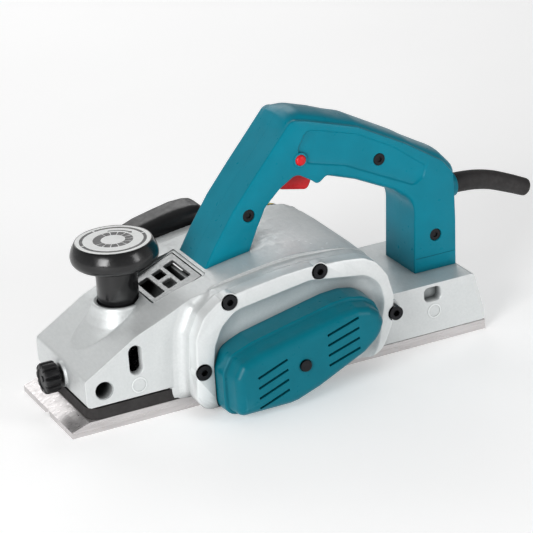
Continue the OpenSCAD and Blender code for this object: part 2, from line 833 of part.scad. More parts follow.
module trigger_spring() {
    color("gray") translate([39, 0, 127]) coil_spring(2.2, 0.4, 4, 3);
}

module lock_button() {
    color([0.82, 0.13, 0.16]) {
        bar(lock_at[0], lock_at[1], -handle_half - 2.5, -9, 4 - fit);
        bar(lock_at[0], lock_at[1], -shell_inner + fit, -shell_inner + 1.5, 5.5);
    }
}

module lock_spring() {
    color("gray") translate([lock_at[0], -9, lock_at[1]]) rotate([-90, 0, 0]) coil_spring(2.8, 0.5, 11, 5);
}

// ---- Cord guard ----
module guard_tip(r, length) {
    translate([203, 0, 72.2]) rotate([0, 114, 0]) translate([0, 0, -length]) cylinder(r = r, h = length);
}

module cord_guard() {
    color([0.16, 0.16, 0.16]) difference() {
        union() {
            translate([131, 0, guard_z]) rotate([0, 90, 0]) cylinder(r = 6.75, h = 20);
            hull() {
                translate([150, 0, guard_z]) rotate([0, 90, 0]) cylinder(r = 6.75, h = 1, $fn = 32);
                translate([168, 0, 85.4]) rotate([0, 100, 0]) cylinder(r = 6.4, h = 1, $fn = 32);
            }
            hull() {
                translate([168, 0, 85.4]) rotate([0, 100, 0]) cylinder(r = 6.4, h = 1, $fn = 32);
                guard_tip(6, 18);
            }
        }
        guard_tip(3.6, 16);
        translate([204, 0, 71.75]) rotate([0, 114, 0]) cylinder(r = 3.6, h = 6);
    }
}

module cord_clamp() {
    color("gray") for (z = [guard_z - 9.6, guard_z + 6.8])
        block([118, -16.9, z], [128, 16.9, z + 2.8]);
}

main_frame();
side_bracket();
bracket_screws();
rear_base();
rear_base_screws();
front_base();
rubber_skirt();
depth_post();
guide_pins();
depth_spring();
depth_knob();
dial_plate();
knob_clip();
thumb_screw();
grille_plate();
belt_cover();
belt_cover_screw();
drive_belt();
cutter_drum();
cutter_blades();
blade_clamps();
blade_bolts();
drum_pulley();
drum_nut();
drum_bearings();
armature_shaft();
armature_core();
commutator();
cooling_fan();
motor_pulley();
motor_nut();
motor_bearings();
field_stack();
air_baffle();
motor_housing();
housing_screws();
brush_holders();
carbon_brushes();
brush_caps();
yellow_label();
chip_spout();
spout_screws();
handle_left();
handle_right();
handle_screws();
handle_foot_screws();
switch_body();
switch_leads();
trigger();
trigger_pin();
trigger_spring();
lock_button();
lock_spring();
cord_guard();
cord_clamp();
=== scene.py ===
"""Electric hand planer: the visible shells and finishes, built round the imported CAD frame.

Lengths in this script are millimetres, and MM turns them into Blender's metres. Only the camera and the
lamps are placed in metres.
"""
import json
import math

import bmesh
import bpy
from mathutils import Matrix, Vector


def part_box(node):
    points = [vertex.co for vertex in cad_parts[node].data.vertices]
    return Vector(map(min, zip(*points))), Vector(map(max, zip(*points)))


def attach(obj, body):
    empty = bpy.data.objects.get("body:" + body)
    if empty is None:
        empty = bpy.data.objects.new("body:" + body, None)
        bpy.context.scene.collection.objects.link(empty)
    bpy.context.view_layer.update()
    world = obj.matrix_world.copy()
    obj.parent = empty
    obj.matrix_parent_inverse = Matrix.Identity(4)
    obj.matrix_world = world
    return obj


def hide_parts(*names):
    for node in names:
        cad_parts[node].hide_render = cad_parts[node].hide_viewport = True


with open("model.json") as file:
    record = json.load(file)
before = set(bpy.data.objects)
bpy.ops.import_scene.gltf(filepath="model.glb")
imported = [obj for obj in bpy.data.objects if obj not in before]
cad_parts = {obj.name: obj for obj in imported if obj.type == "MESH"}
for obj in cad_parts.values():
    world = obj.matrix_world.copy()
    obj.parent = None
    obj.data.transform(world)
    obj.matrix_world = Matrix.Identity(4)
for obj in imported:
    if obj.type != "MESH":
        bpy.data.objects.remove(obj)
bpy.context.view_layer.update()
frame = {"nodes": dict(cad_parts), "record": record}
NODES = frame["nodes"]
MM = 0.001

# ---- Sizes shared by several pieces ----
HALF_WIDTH = 41        # side faces of the casting
PAD_Y = 50             # face of the pad that the bracket is screwed to
BAND_Y = 60            # outer face of the bracket's band
FLOOR_Y = 54           # floor of the bracket's recess
COVER_Y = 84           # face of the belt cover
KNOB_X = -91
DRUM = (-28, 27)
MOTOR = (33, 43.5)
ROD = (-121.5, 26.5)
THUMB_Y = -3.5
DECK_Z = 40.5
SHELL_Y = 20           # half width of the handle
GUARD_Z = 87.7
DIAL_Z = 104.66        # face of the dial on the knob
BRACKET_SCREWS = [(-42.7, 72.1), (19.1, 77.3), (-63.2, 30.6), (70.2, 36.7)]
HANDLE_SCREWS = [(-7.7, 107.2), (85.3, 123.7), (122.9, 63.9)]
LOCK = (29.9, 135.8)
PIVOT = (24, 128)
COVER_SCREW = (-6, 29.7)
CHIP_ROOM = (-46, -33, 44), (-12, 55, 71)
GRILLE_PLACE = (-60, 0, 71.9)
GRILLE_SLOPE = -21.5   # degrees about Y


# ---- Mesh tools ----
def counter_clockwise(points):
    area = sum(a[0] * b[1] - b[0] * a[1] for a, b in zip(points, points[1:] + points[:1]))
    return list(points) if area > 0 else list(reversed(points))


def moved_in(points, inset):
    """The corners of an outline after each edge has moved inwards by inset."""
    result = []
    for i, point in enumerate(points):
        here = Vector(point)
        before = (here - Vector(points[i - 1])).normalized()
        after = (Vector(points[(i + 1) % len(points)]) - here).normalized()
        normals = Vector((-before.y, before.x)), Vector((-after.y, after.x))
        result.append(here + (normals[0] + normals[1]) * inset / (1 + normals[0].dot(normals[1])))
    return result


def rounded(points, radius, inset=0.0, steps=7):
    """An outline with an arc at each corner. Every inset gives the same number of points.

    radius is one number, or one for each corner.
    """
    radii = list(radius) if isinstance(radius, (list, tuple)) else [radius] * len(points)
    if counter_clockwise(points) != list(points):
        radii.reverse()
    points = counter_clockwise(points)
    corners = moved_in(points, inset)
    result = []
    for i, corner in enumerate(corners):
        back = corners[i - 1] - corner
        on = corners[(i + 1) % len(corners)] - corner
        turn = math.pi - back.angle(on)
        convex = on.cross(back) > 0
        wanted = max(radii[i] - inset, 0.3) if convex else radii[i] + inset
        reach = min(wanted * math.tan(turn / 2), 0.49 * back.length, 0.49 * on.length)
        reach = max(reach, 0.1)
        start = corner + back.normalized() * reach
        end = corner + on.normalized() * reach
        weight = math.cos(turn / 2)
        for k in range(steps):
            t = k / (steps - 1)
            a, b, c = (1 - t) ** 2, 2 * t * (1 - t) * weight, t * t
            result.append((a * start + b * corner + c * end) / (a + b + c))
    return result


def rectangle(centre, size):
    """The corners of an upright rectangle."""
    (x, y), (w, h) = centre, (size[0] / 2, size[1] / 2)
    return [(x - w, y - h), (x + w, y - h), (x + w, y + h), (x - w, y + h)]


def finely(points, spacing):
    """The same outline with its long edges divided."""
    result = []
    for i, point in enumerate(points):
        step = points[(i + 1) % len(points)] - point
        count = max(1, math.ceil(step.length / spacing))
        result += [point + step * k / count for k in range(count)]
    return result


def outward(points):
    """The outward normal at each point of a counter-clockwise outline."""
    result = []
    for i, point in enumerate(points):
        along = (points[(i + 1) % len(points)] - points[i - 1]).normalized()
        result.append(Vector((along.y, -along.x)))
    return result


def between(value, low, high):
    """A soft step from 0 at low to 1 at high."""
    t = max(0, min(1, (value - low) / (high - low)))
    return t * t * (3 - 2 * t)


def mirrored(layers, middle=()):
    """Layers for y below and above 0, from the layers for y above 0 in falling order of y."""
    return [(-y, *rest) for y, *rest in layers] + [*middle] + [(y, *rest) for y, *rest in reversed(layers)]


def smooth_profile(points, steps=5):
    """A Catmull-Rom curve through the points of a profile."""
    result = []
    for i in range(len(points) - 1):
        around = [Vector(points[max(0, min(len(points) - 1, i + k))]) for k in (-1, 0, 1, 2)]
        for step in range(steps):
            t = step / steps
            a, b, c, d = around
            result.append(0.5 * ((2 * b) + (c - a) * t + (2 * a - 5 * b + 4 * c - d) * t * t
                                 + (3 * b - a - 3 * c + d) * t ** 3))
    return [tuple(p) for p in result] + [points[-1]]


def placed(u, v, w, axis):
    """A point of a flat outline (u, v) at height w along axis."""
    if axis == "y":
        return Vector((u, w, v))
    if axis == "x":
        return Vector((w, u, v))
    return Vector((u, v, w))


def new_object(name, verts, faces):
    mesh = bpy.data.meshes.new(name)
    mesh.from_pydata([Vector(v) * MM for v in verts], [], faces)
    build = bmesh.new()
    build.from_mesh(mesh)
    bmesh.ops.remove_doubles(build, verts=build.verts, dist=1e-7)
    bmesh.ops.recalc_face_normals(build, faces=build.faces)
    bmesh.ops.triangulate(build, faces=[f for f in build.faces if len(f.verts) > 4])
    build.to_mesh(mesh)
    build.free()
    obj = bpy.data.objects.new(name, mesh)
    bpy.context.scene.collection.objects.link(obj)
    return obj


def skin(name, rings):
    """A closed solid through rings of the same number of points, with flat ends."""
    count = len(rings[0])
    faces = [list(range(count)), [(len(rings) - 1) * count + k for k in range(count)]]
    for i in range(len(rings) - 1):
        for k in range(count):
            n = (k + 1) % count
            faces.append([i * count + k, i * count + n, (i + 1) * count + n, (i + 1) * count + k])
    return new_object(name, [p for ring in rings for p in ring], faces)


def plate(name, outline, radius, layers, axis="y", steps=7):
    """An outline drawn through layers of (height along axis, inset)."""
    rings = []
    for height, inset in layers:
        flat = rounded(outline, radius, inset, steps)
        rings.append([placed(p[0], p[1], height, axis) for p in flat])
    return skin(name, rings)


def box(low, high, edge=0.0):
    """A box between two corners, standing along Z, with its upright edges rounded."""
    outline = [(low[0], low[1]), (high[0], low[1]), (high[0], high[1]), (low[0], high[1])]
    return plate("box", outline, edge, [(low[2], 0), (high[2], 0)], "z", 5 if edge else 2)


def lathe(name, profile, base, direction=(0, 0, 1), segments=96):
    """A solid of revolution; profile is (radius, height) from one end on the axis to the other."""
    turn = Vector((0, 0, 1)).rotation_difference(Vector(direction).normalized()).to_matrix()
    rings = []
    for radius, height in profile:
        rings.append([
            Vector(base) + turn @ Vector((
                radius * math.cos(2 * math.pi * k / segments),
                radius * math.sin(2 * math.pi * k / segments),
                height))
            for k in range(segments)])
    return skin(name, rings)


def rod(start, end, radius, end_radius=None):
    """A straight cylinder or cone between two points."""
    along = Vector(end) - Vector(start)
    profile = [(radius, 0), (radius if end_radius is None else end_radius, along.length)]
    return lathe("rod", profile, start, along, 48)


def bar(at, y0, y1, radius):
    """A cylinder along Y at a point (x, z)."""
    return rod((at[0], y0, at[1]), (at[0], y1, at[1]), radius)


def bake(obj):
    """Applies the modifiers of obj."""
    graph = bpy.context.evaluated_depsgraph_get()
    mesh = bpy.data.meshes.new_from_object(obj.evaluated_get(graph))
    obj.modifiers.clear()
    obj.data = mesh
    return obj


def combine(obj, others, operation):
    for other in others:
        step = obj.modifiers.new("combine", "BOOLEAN")
        step.solver = "MANIFOLD"
        step.operation = operation
        step.object = other
    bake(obj)
    for other in others:
        bpy.data.objects.remove(other)
    return obj


def fuse(obj, *others):
    return combine(obj, others, "UNION")


def cut(obj, *others):
    return combine(obj, others, "DIFFERENCE")


def keep_inside(obj, *others):
    return combine(obj, others, "INTERSECT")


def soften(obj, voxel, passes):
    """Rounds every edge: a voxel remesh followed by smoothing."""
    remesh = obj.modifiers.new("remesh", "REMESH")
    remesh.mode = "VOXEL"
    remesh.voxel_size = voxel * MM
    smooth = obj.modifiers.new("smooth", "SMOOTH")
    smooth.factor = 0.5
    smooth.iterations = passes
    return bake(obj)


def duplicate(obj):
    copy = obj.copy()
    copy.data = obj.data.copy()
    bpy.context.scene.collection.objects.link(copy)
    return copy


def set_down(obj, angle, place):
    """Turns the mesh of obj by degrees about the Y axis, then moves its origin to place."""
    obj.data.transform(Matrix.Rotation(math.radians(angle), 4, "Y"))
    obj.data.transform(Matrix.Translation(Vector(place) * MM))
    return obj


# ---- Materials ----
def linear(level):
    level /= 255
    return level / 12.92 if level <= 0.04045 else ((level + 0.055) / 1.055) ** 2.4


def rgb(*levels):
    return tuple(linear(level) for level in levels) + (1,)


class Finish:
    """Builds one node material out of noise, bump, painted edge highlights and painted shade."""

    def __init__(self, name, colour, roughness, metallic=0.0, coat=0.0, specular=0.3):
        self.material = bpy.data.materials.new(name)
        self.material.use_nodes = True
        self.tree = self.material.node_tree
        self.shader = self.tree.nodes["Principled BSDF"]
        self.shader.inputs["Metallic"].default_value = metallic
        self.shader.inputs["Specular IOR Level"].default_value = specular
        self.shader.inputs["Coat Weight"].default_value = coat
        self.shader.inputs["Coat Roughness"].default_value = 0.25
        self.shader.inputs["Base Color"].default_value = colour
        self.shader.inputs["Roughness"].default_value = roughness
        self.colour = self.value(colour)
        self.roughness = roughness
        self.height = None
        self.place = self.node("ShaderNodeTexCoord").outputs["Object"]

    def node(self, kind, **settings):
        node = self.tree.nodes.new(kind)
        for key, setting in settings.items():
            setattr(node, key, setting)
        return node

    def link(self, source, target):
        self.tree.links.new(source, target)

    def value(self, colour):
        node = self.node("ShaderNodeRGB")
        node.outputs[0].default_value = colour
        return node.outputs[0]

    def stretched(self, scale):
        mapping = self.node("ShaderNodeMapping")
        mapping.inputs["Scale"].default_value = scale
        self.link(self.place, mapping.inputs["Vector"])
        return mapping.outputs[0]

    def noise(self, size, detail=3.0, stretch=(1, 1, 1)):
        """Noise whose spots are about size millimetres across."""
        node = self.node("ShaderNodeTexNoise")
        node.inputs["Scale"].default_value = 1 / (size * MM)
        node.inputs["Detail"].default_value = detail
        self.link(self.stretched(stretch), node.inputs["Vector"])
        return node.outputs["Fac"]

    def spread(self, source, low, high, to_low=0.0, to_high=1.0):
        node = self.node("ShaderNodeMapRange")
        for socket, number in zip(("From Min", "From Max", "To Min", "To Max"),
                                  (low, high, to_low, to_high)):
            node.inputs[socket].default_value = number
        self.link(source, node.inputs["Value"])
        return node.outputs["Result"]

    def tint(self, colour, factor):
        """Mixes another colour in where factor is 1."""
        node = self.node("ShaderNodeMix", data_type="RGBA")
        self.link(factor, node.inputs["Factor"])
        self.link(self.colour, node.inputs["A"])
        node.inputs["B"].default_value = colour
        self.colour = node.outputs["Result"]
        return self

    def mottle(self, colour, size, amount, stretch=(1, 1, 1)):
        return self.tint(colour, self.spread(self.noise(size, 4, stretch), 0.35, 0.75, 0, amount))

    def vary_gloss(self, size, amount, stretch=(1, 1, 1)):
        spots = self.noise(size, 4, stretch)
        low, high = self.roughness - amount, self.roughness + amount
        self.link(self.spread(spots, 0.3, 0.7, low, high), self.shader.inputs["Roughness"])
        return self

    def relief(self, size, depth, detail=3.0, stretch=(1, 1, 1)):
        """Bump of about depth millimetres over spots of size millimetres."""
        bump = self.node("ShaderNodeBump")
        bump.inputs["Strength"].default_value = 1.0
        bump.inputs["Distance"].default_value = depth * MM
        self.link(self.noise(size, detail, stretch), bump.inputs["Height"])
        if self.height:
            self.link(self.height, bump.inputs["Normal"])
        self.height = bump.outputs["Normal"]
        return self

    def edges(self, colour, amount, low, high):
        """Lightens outer edges: a painted highlight along them."""
        geometry = self.node("ShaderNodeNewGeometry")
        rim = self.spread(geometry.outputs["Pointiness"], low, high, 0, amount)
        return self.tint(colour, rim)

    def painted_hollow_shade(self, colour, amount):
        """Darkens inner corners: painted shade."""
        geometry = self.node("ShaderNodeNewGeometry")
        inner = self.spread(geometry.outputs["Pointiness"], 0.42, 0.49, amount, 0)
        return self.tint(colour, inner)

    def corners(self, colour, amount, reach, low=0.35, high=0.95):
        """Painted shade: darkens narrow places, with full strength where less than low of the sky is open."""
        shade = self.node("ShaderNodeAmbientOcclusion")
        shade.inputs["Distance"].default_value = reach * MM
        return self.tint(colour, self.spread(shade.outputs["AO"], low, high, amount, 0))

    def done(self):
        self.link(self.colour, self.shader.inputs["Base Color"])
        if self.height:
            self.link(self.height, self.shader.inputs["Normal"])
        return self.material


def cast_aluminium():
    finish = Finish("cast_aluminium", rgb(213, 216, 216), 0.48, 0.45)
    finish.mottle(rgb(196, 201, 201), 9, 0.22).mottle(rgb(234, 236, 236), 1.6, 0.25, (1, 0.35, 1))
    # Painted highlight along outer edges and painted shade in inner corners
    finish.edges(rgb(240, 243, 243), 0.7, 0.515, 0.56).painted_hollow_shade(rgb(120, 126, 126), 0.4)
    # Painted shade in narrow places; the second, far-reaching one blackens bores and the chip room
    finish.corners(rgb(120, 128, 130), 0.5, 7).corners(rgb(30, 34, 34), 0.97, 40, 0.1, 0.55)
    return finish.vary_gloss(3, 0.08).relief(0.7, 0.05).relief(6, 0.12, 2).done()


def dark_chip_metal():
    # A dark brownish metal for the walls of the chip room
    finish = Finish("dark_chip_metal", rgb(74, 72, 68), 0.7)
    return finish.mottle(rgb(46, 44, 42), 6, 0.6).relief(1, 0.1).done()


def machined_sole():
    finish = Finish("machined_sole", rgb(202, 198, 198), 0.33, 0.75)
    finish.mottle(rgb(150, 146, 144), 5, 0.4, (0.15, 1, 1)).mottle(rgb(228, 226, 226), 1, 0.4, (0.05, 1, 1))
    return finish.vary_gloss(1.2, 0.1, (0.05, 1, 1)).relief(0.5, 0.03, 3, (0.04, 1, 1)).done()


def metal(name, colour, roughness, streak=(1, 1, 1)):
    finish = Finish(name, colour, roughness, 0.95)
    darker = tuple(c * 0.6 for c in colour[:3]) + (1,)
    finish.mottle(darker, 4, 0.4, streak)
    return finish.vary_gloss(1.5, 0.08, streak).relief(0.5, 0.015, 3, streak).done()


def teal_plastic(name="teal_plastic", green=125, blue=146):
    finish = Finish(name, rgb(0, green, blue), 0.32, 0, 0, 0.16)
    finish.mottle(rgb(0, green * 0.9, blue * 0.9), 14, 0.5)
    # Painted shade in narrow places and a painted highlight along outer edges
    finish.corners(rgb(0, 60, 72), 0.6, 5).edges(rgb(96, 170, 188), 0.4, 0.57, 0.7)
    return finish.vary_gloss(5, 0.05).relief(0.5, 0.02).done()


def black_plastic(name="black_plastic", level=26, roughness=0.36, grain=0.025, specular=0.25):
    finish = Finish(name, rgb(level, level, level + 1), roughness, 0, 0.05, specular)
    finish.mottle(rgb(level + 12, level + 12, level + 13), 6, 0.4)
    return finish.vary_gloss(3, 0.07).relief(0.45, grain).done()


def rubber():
    finish = Finish("black_rubber", rgb(48, 46, 46), 0.62, specular=0.25)
    finish.mottle(rgb(66, 64, 64), 3, 0.6).mottle(rgb(32, 31, 31), 12, 0.5)
    return finish.vary_gloss(2, 0.08).relief(0.6, 0.05).relief(4, 0.1, 2).done()


def red_plastic():
    finish = Finish("red_plastic", rgb(212, 26, 34), 0.3, 0, 0.2, 0.2)
    finish.mottle(rgb(176, 20, 30), 8, 0.5)
    return finish.vary_gloss(4, 0.05).relief(0.5, 0.01).done()


def white_dial():
    finish = Finish("white_dial", rgb(250, 251, 250), 0.5)
    finish.mottle(rgb(236, 238, 236), 4, 0.5)
    return finish.vary_gloss(3, 0.05).relief(0.4, 0.008).done()


def yellow_film():
    finish = Finish("yellow_film", rgb(236, 208, 34), 0.4, 0, 0.2)
    finish.mottle(rgb(214, 182, 20), 5, 0.5)
    return finish.vary_gloss(2, 0.05).relief(0.5, 0.01).done()


def pale_floor():
    finish = Finish("pale_floor", rgb(246, 246, 246), 0.6)
    finish.mottle(rgb(240, 240, 240), 120, 0.3)
    finish.shader.inputs["Emission Color"].default_value = (1, 1, 1, 1)
    finish.shader.inputs["Emission Strength"].default_value = 0.3
    return finish.relief(8, 0.02).done()


FINISHES = {
    "cast_aluminium": cast_aluminium(),
    "machined_sole": machined_sole(),
    "black_steel": metal("black_steel", rgb(48, 48, 50), 0.4),
    "bright_steel": metal("bright_steel", rgb(188, 188, 190), 0.28),
    "spring_steel": metal("spring_steel", rgb(130, 130, 134), 0.35),
    "black_rubber": rubber(),
    "black_plastic": black_plastic(),
    "white_dial": white_dial(),
    "grille_metal": metal("grille_metal", rgb(150, 152, 152), 0.4),
    "teal_plastic": teal_plastic(),
    "drum_metal": metal("drum_metal", rgb(168, 168, 172), 0.35, (1, 0.1, 1)),
    "iron_core": metal("iron_core", rgb(110, 98, 90), 0.5, (1, 12, 1)),
    "copper_brass": metal("copper_brass", rgb(196, 132, 80), 0.35),
    "fan_plastic": black_plastic("fan_plastic", 160, 0.5),
    "yellow_film": yellow_film(),
    "red_plastic": red_plastic(),
}


# ---- Pieces ----
def smooth(obj, angle=32):
    obj.data.shade_smooth()
    obj.data.set_sharp_from_angle(angle=math.radians(angle))
    return obj


def paint(obj, material):
    obj.data.materials.clear()
    obj.data.materials.append(material)
    for face in obj.data.polygons:
        face.material_index = 0
    return obj


def piece(obj, name, body, slot, *replaced, material=None, angle=32):
    """Names a finished piece, gives it its finish and ties it to the frame."""
    obj.name = name
    obj.data.name = name
    smooth(paint(obj, material or FINISHES[slot]), angle)
    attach(obj, body)
    if replaced:
        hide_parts(*replaced)
    return obj


# ---- Camera, light and floor ----
def camera():
    """A long lens, left of the belt side and 22.5 degrees above it."""
    eye = Vector((-0.5954, -1.3339, 0.6689))
    azimuth, elevation, roll = (math.radians(a) for a in (-24.44, 22.5, -4.16))
    forward = Vector((-math.sin(azimuth) * math.cos(elevation),
                      math.cos(azimuth) * math.cos(elevation), -math.sin(elevation)))
    right = Vector((math.cos(azimuth), math.sin(azimuth), 0))
    up = right.cross(forward)
    across = math.cos(roll) * right + math.sin(roll) * up
    upward = -math.sin(roll) * right + math.cos(roll) * up
    data = bpy.data.cameras.new("camera")
    data.lens = 168.74
    data.sensor_width = 36
    data.clip_start = 0.05
    data.clip_end = 20
    holder = bpy.data.objects.new("camera", data)
    holder.matrix_world = Matrix.Translation(eye) @ Matrix((across, upward, -forward)).transposed().to_4x4()
    bpy.context.scene.collection.objects.link(holder)
    bpy.context.scene.camera = holder


def lamp(name, place, size, watts):
    """A soft area light of a size in metres that points at the tool's middle."""
    light = bpy.data.lights.new(name, "AREA")
    light.shape = "RECTANGLE"
    light.size, light.size_y = size
    light.energy = watts
    holder = bpy.data.objects.new(name, light)
    holder.location = place
    holder.rotation_euler = (Vector((0, 0, 0.06)) - holder.location).to_track_quat("-Z", "Y").to_euler()
    bpy.context.scene.collection.objects.link(holder)


def sky():
    """A pale surround that is darker overhead, so that upper faces don't wash out."""
    world = bpy.data.worlds.new("studio")
    world.use_nodes = True
    nodes, links = world.node_tree.nodes, world.node_tree.links
    split = nodes.new("ShaderNodeSeparateXYZ")
    links.new(nodes.new("ShaderNodeTexCoord").outputs["Generated"], split.inputs[0])
    ramp = nodes.new("ShaderNodeValToRGB")
    ramp.color_ramp.elements[0].position = 0.0
    ramp.color_ramp.elements[0].color = (1, 1, 1, 1)
    ramp.color_ramp.elements[1].position = 0.9
    ramp.color_ramp.elements[1].color = (0.3, 0.3, 0.3, 1)
    links.new(split.outputs["Z"], ramp.inputs["Fac"])
    background = nodes["Background"]
    links.new(ramp.outputs["Color"], background.inputs["Color"])
    background.inputs["Strength"].default_value = 0.5
    bpy.context.scene.world = world
    bpy.context.scene.view_settings.view_transform = "Standard"


def floor():
    slab = box((-4000, -4000, -20), (4000, 4000, -0.02))
    slab.name = "floor"
    paint(slab, pale_floor())


camera()
lamp("key_light", (-1.35, -1.0, 0.68), (0.7, 0.8), 21.5)
lamp("top_light", (0.1, 0.2, 1.5), (1.4, 1.0), 1.5)
lamp("right_light", (0.9, -1.25, 0.6), (0.35, 0.8), 5)
lamp("back_light", (0.2, 1.3, 0.8), (1.2, 0.5), 5)
sky()
floor()

# ---- Outlines in the XZ plane ----
SIDE = [
    (-69, 8.7), (-68.6, 31), (-66.7, 53), (-60.7, 65.6), (-48.3, 75), (-31, 77.6), (-5, 81), (13, 82),
    (36, 80.7), (50, 79), (59, 74), (66, 64), (70, 49), (68, 30), (59, 11), (-56.5, 8)]
RECESS = [
    (-56, -5), (-56, 32), (-54.4, 45), (-49, 57), (-39, 65.5), (12, 73), (51, 67), (60, 59.5),
    (62.4, 47), (57.5, 20), (50, 5), (50, -5)]
COVER = [
    (-56, 1.5), (-56, 32), (-50, 42.5), (-35, 48), (21, 60), (33, 61), (43, 59), (51, 53.5),
    (55, 44), (51.6, 35), (47.6, 30), (38.7, 23), (6, 8), (-10, 2.4), (-16, 1.5)]


# ---- Belt cover ----
def belt_cover():
    y = -COVER_Y
    layers = [(-FLOOR_Y - 0.1, 0), (y + 14.5, 0.7), (y + 13.6, 1.4), (y + 13.2, 2.8), (y + 12.6, 3.2),
              (y + 5.2, 3.8), (y + 3.2, 4.4), (y + 1.5, 5.6), (y + 0.4, 7.4), (y, 9.6)]
    cover = plate("belt_cover", COVER, 9, layers)
    inside = [(-FLOOR_Y + 1, 2), (y + 15, 2.8), (y + 13.5, 5.4), (y + 3, 7.2)]
    cut(cover, plate("inside", COVER, 9, inside))
    slots = []
    for k in range(4):
        for corner, length, angle in (((-37.8, 28.3), 21.8, 20.5), ((10.3, 44.4), 23, 17)):
            outline = rectangle((length / 2, 0.8), (length, 1.6))
            slot = plate("slot", outline, 0.4, [(y - 1, 0), (y + 4, 0)], steps=4)
            slots.append(set_down(slot, -angle, (corner[0], 0, corner[1] - 6.7 * k)))
    fuse(cover, bar(COVER_SCREW, y + 1, -80, 6))
    cut(cover, *slots)
    cut(cover, bar(COVER_SCREW, y - 1, y + 1.4, 4.1), bar(COVER_SCREW, y - 2, -70, 2.1))
    # A darker copy of the handle's teal: painted shade, as the cover's face lies in less light
    darker = teal_plastic("teal_cover_painted_shade", 106, 122)
    piece(cover, "belt_cover_shell", "root", "teal_plastic", "belt_cover", material=darker)


belt_cover()


# ---- Side bracket ----
def side_bracket():
    layers = [(-PAD_Y - 0.12, 0), (-BAND_Y + 1.6, 0), (-BAND_Y + 0.6, 0.4), (-BAND_Y, 1.6)]
    outline = [(-69, 12)] + SIDE[1:-1] + [(-50, 4.4), (-63, 4.4)]
    bracket = plate("side_bracket", outline, [9] + [14] * (len(SIDE) - 2) + [9, 9], layers)
    lug = lathe("lug", [(6.5, 0), (6.5, 4.4), (5.9, 5)], (70.2, -PAD_Y - 0.12, 36.7), (0, -1, 0))
    fuse(bracket, lug)
    hollow = [(-FLOOR_Y, 14), (-FLOOR_Y - 0.3, 10.5), (-FLOOR_Y - 0.9, 7.6), (-FLOOR_Y - 1.9, 4.9),
              (-FLOOR_Y - 3.2, 2.6), (-FLOOR_Y - 4.6, 1), (-BAND_Y + 0.5, 0.2), (-BAND_Y, -0.5),
              (-BAND_Y - 0.5, -1.2)]
    cut(bracket, plate("hollow", RECESS, 16, hollow))
    fuse(bracket, *[bar(at, -BAND_Y + 0.5, -FLOOR_Y + 1, 5.8) for at in BRACKET_SCREWS[:3]])
    for at in BRACKET_SCREWS:
        head = [(5.05, 0), (5.05, 4.4), (5.5, 5), (6.1, 7)]
        cut(bracket, lathe("pocket", head, (at[0], -55, at[1]), (0, -1, 0)))
    fuse(bracket, bar(MOTOR, -PAD_Y - 0.5, -40, 16), bar(COVER_SCREW, -80, -FLOOR_Y + 1, 4))
    hub = bar(DRUM, -PAD_Y - 0.5, -42, 28.3)
    keep_inside(hub, box((-70, -51, 9.5), (20, -41.8, 80)))
    fuse(bracket, hub)
    cut(bracket, bar(DRUM, -PAD_Y, -41, 13), bar(MOTOR, -PAD_Y, -39, 11), bar(COVER_SCREW, -81, -66, 1.7))
    cut(bracket, bar(DRUM, -BAND_Y, -40, 8), bar(MOTOR, -BAND_Y, -39, 7))
    cut(bracket, *[bar(at, -56, -PAD_Y + 1, 2.6) for at in BRACKET_SCREWS])
    piece(bracket, "bracket_casting", "root", "cast_aluminium", "side_bracket")


side_bracket()

# ---- Casting ----
# Upper edge of the casting: place along X, height at the crest, at the side face and at the bracket's face
ROOF = [
    (-133.5, 35, 35, 35), (-105, 52.2, 52.2, 52.2), (-97, 57.4, 56.7, 56), (-84, 66.2, 61.7, 58),
    (-73.6, 70, 66, 63), (-60, 73.9, 72, 70), (-44.7, 77.2, 76.4, 75.6), (-39, 79.3, 78, 76.8),
    (-9, 84.1, 82.4, 80.6), (14, 85.4, 83.8, 82), (42, 82, 81, 80.2), (57, 77, 76.2, 75.5),
    (66, 64, 64, 64), (70, 49, 49, 49), (71, DECK_Z, DECK_Z, DECK_Z)]
CREST_Y = 22


def roof_line(share):
    """The upper edge at a share of the way from the crest (0) to the side face (1) and the bracket (2)."""
    column = min(1, int(share))
    part = share - column
    edge = [(row[0], row[1 + column] * (1 - part) + row[2 + column] * part) for row in ROOF]
    return smooth_profile(edge, 4)


def casting_block():
    """The solid block of the nose, the hump and the tail, with its sloping shoulders."""
    rest = [(138.5, DECK_Z), (145, 13), (145, 6.6), (-22, 6.6), (-22, 9.3), (-64, 9.3), (-64, 16.9),
            (-133.5, 16.9)]
    rings = []
    for y, share in mirrored([(HALF_WIDTH, 1), (36, 0.74), (31.5, 0.5), (27, 0.26), (CREST_Y, 0)]):
        rings.append([placed(p[0], p[1], y, "y") for p in rounded(roof_line(share) + rest, 2.5, 0, 3)])
    return skin("casting", rings)


def hump_limit():
    """The hump out to the bracket's face, under the sloping shoulders."""
    rings = []
    for y, share in mirrored([(BAND_Y, 2), (50, 1.5), (HALF_WIDTH, 1), (31.5, 0.5), (CREST_Y, 0)]):
        outline = roof_line(share)[4:] + [(71, 5), (-105, 5)]
        rings.append([placed(p[0], p[1], y, "y") for p in rounded(outline, 2.5, 0, 3)])
    return skin("limit", rings)


def pads():
    """The raised pads on both side faces, with a hollow fillet where they leave the face."""
    outline = finely(rounded(SIDE, 12, 0, 7), 3)
    normals = outward(outline)

    def pad(side, layers):
        rings = []
        for y, flare in layers:
            moved = [p + n * flare * between(-n.x, 0.3, 0.8) for p, n in zip(outline, normals)]
            rings.append([placed(p.x, p.y, side * y, "y") for p in moved])
        return skin("pad", rings)

    fillet = (3.4, 0.1), (5.2, 0.8), (6.8, 2.2), (8, 4.2), (9, 7), (10, 10)
    hollow = [(PAD_Y - depth, flare) for depth, flare in fillet]
    near = fuse(pad(-1, [(PAD_Y, 0)] + hollow), pad(1, [(FLOOR_Y, 0)] + hollow))
    lower = box((-90, -60, 8.2), (90, 60, 90))
    return keep_inside(near, hump_limit(), lower)


